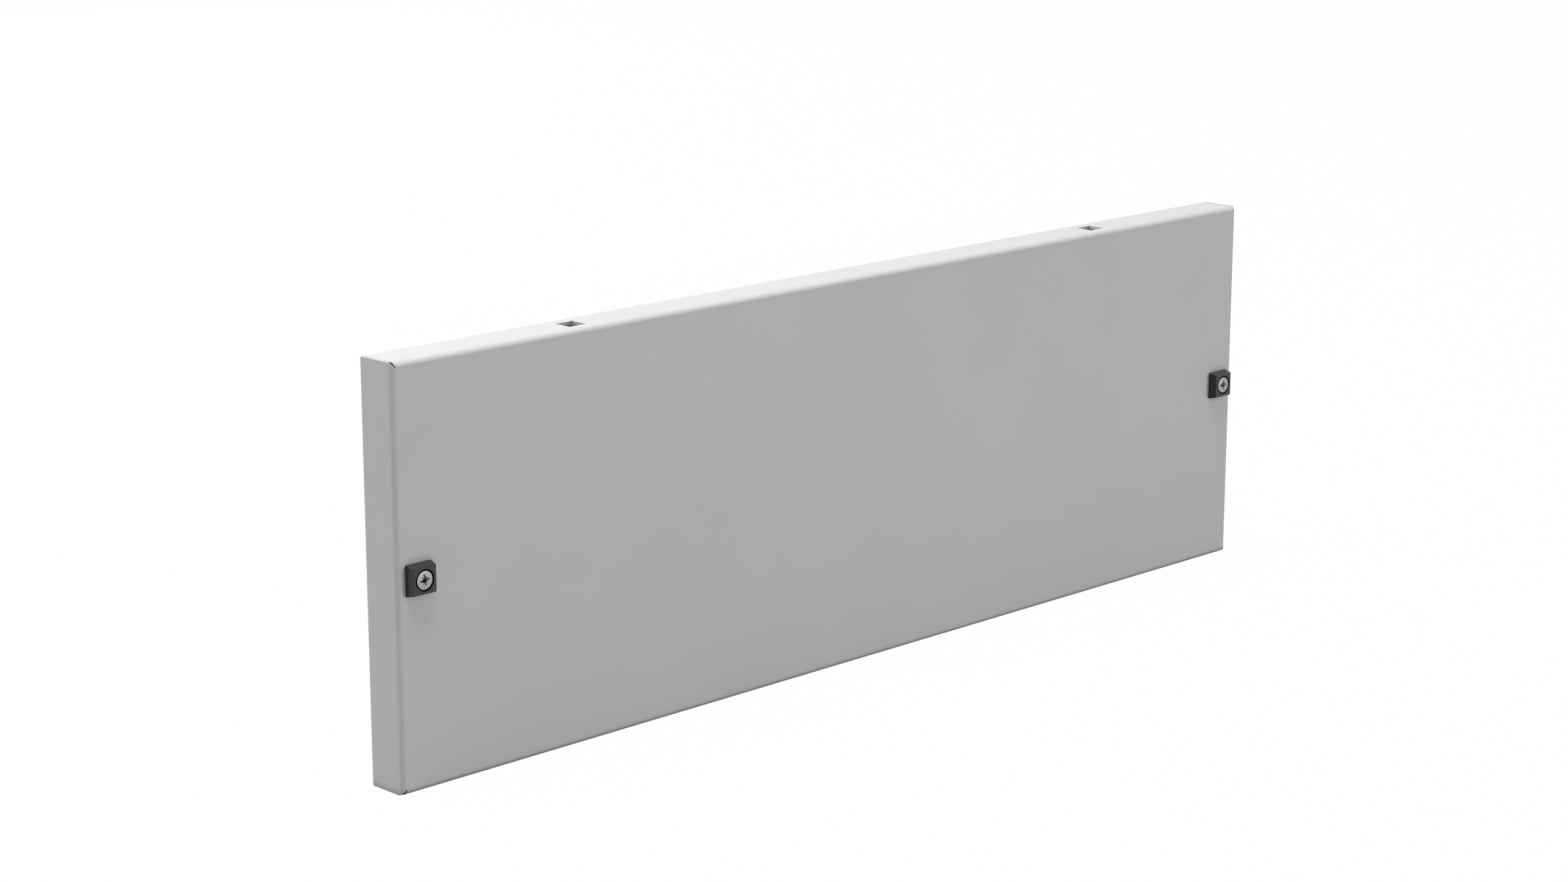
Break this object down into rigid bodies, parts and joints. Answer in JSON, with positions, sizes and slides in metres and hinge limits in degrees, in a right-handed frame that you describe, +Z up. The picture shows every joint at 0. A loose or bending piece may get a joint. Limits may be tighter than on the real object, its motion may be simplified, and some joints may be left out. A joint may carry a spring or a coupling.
{
  "type": "blanking panel",
  "caption": "Folded sheet steel blanking panel for a rack bay, with a square plastic bush and a captive cross recess screw at each end.",
  "frame": {"origin": "midway between the two fixing screws, on the mounting plane at the back of the return lips", "axes": "+X along the panel, to the right when its front is seen; +Y out of the back, the way the screws point; +Z up"},
  "size_m": [0.5964, 0.0402, 0.2],
  "materials": {
    "powder_coat": "fine light grey powder coat",
    "black_plastic": "as moulded",
    "plated_steel": "zinc plated",
    "spring_steel": "phosphated"
  },
  "bodies": {
    "tray": {"panel": "powder_coat", "left_bush": "black_plastic", "right_bush": "black_plastic"},
    "left_clip": {"left_retaining_clip": "spring_steel"},
    "right_clip": {"right_retaining_clip": "spring_steel"},
    "left_fastener": {"left_screw": "plated_steel"},
    "right_fastener": {"right_screw": "plated_steel"}
  },
  "joints": [
    {"name": "left_screw_travel", "type": "slide", "parent": "tray", "child": "left_clip", "axis": [0, -1, 0], "range_m": [0, 0.0125]},
    {"name": "left_screw_turn", "type": "hinge", "parent": "left_clip", "child": "left_fastener", "pos_m": [-0.286, 0, 0], "axis": [0, 1, 0], "continuous": true},
    {"name": "right_screw_travel", "type": "slide", "parent": "tray", "child": "right_clip", "axis": [0, -1, 0], "range_m": [0, 0.0125]},
    {"name": "right_screw_turn", "type": "hinge", "parent": "right_clip", "child": "right_fastener", "pos_m": [0.286, 0, 0], "axis": [0, 1, 0], "continuous": true}
  ]
}
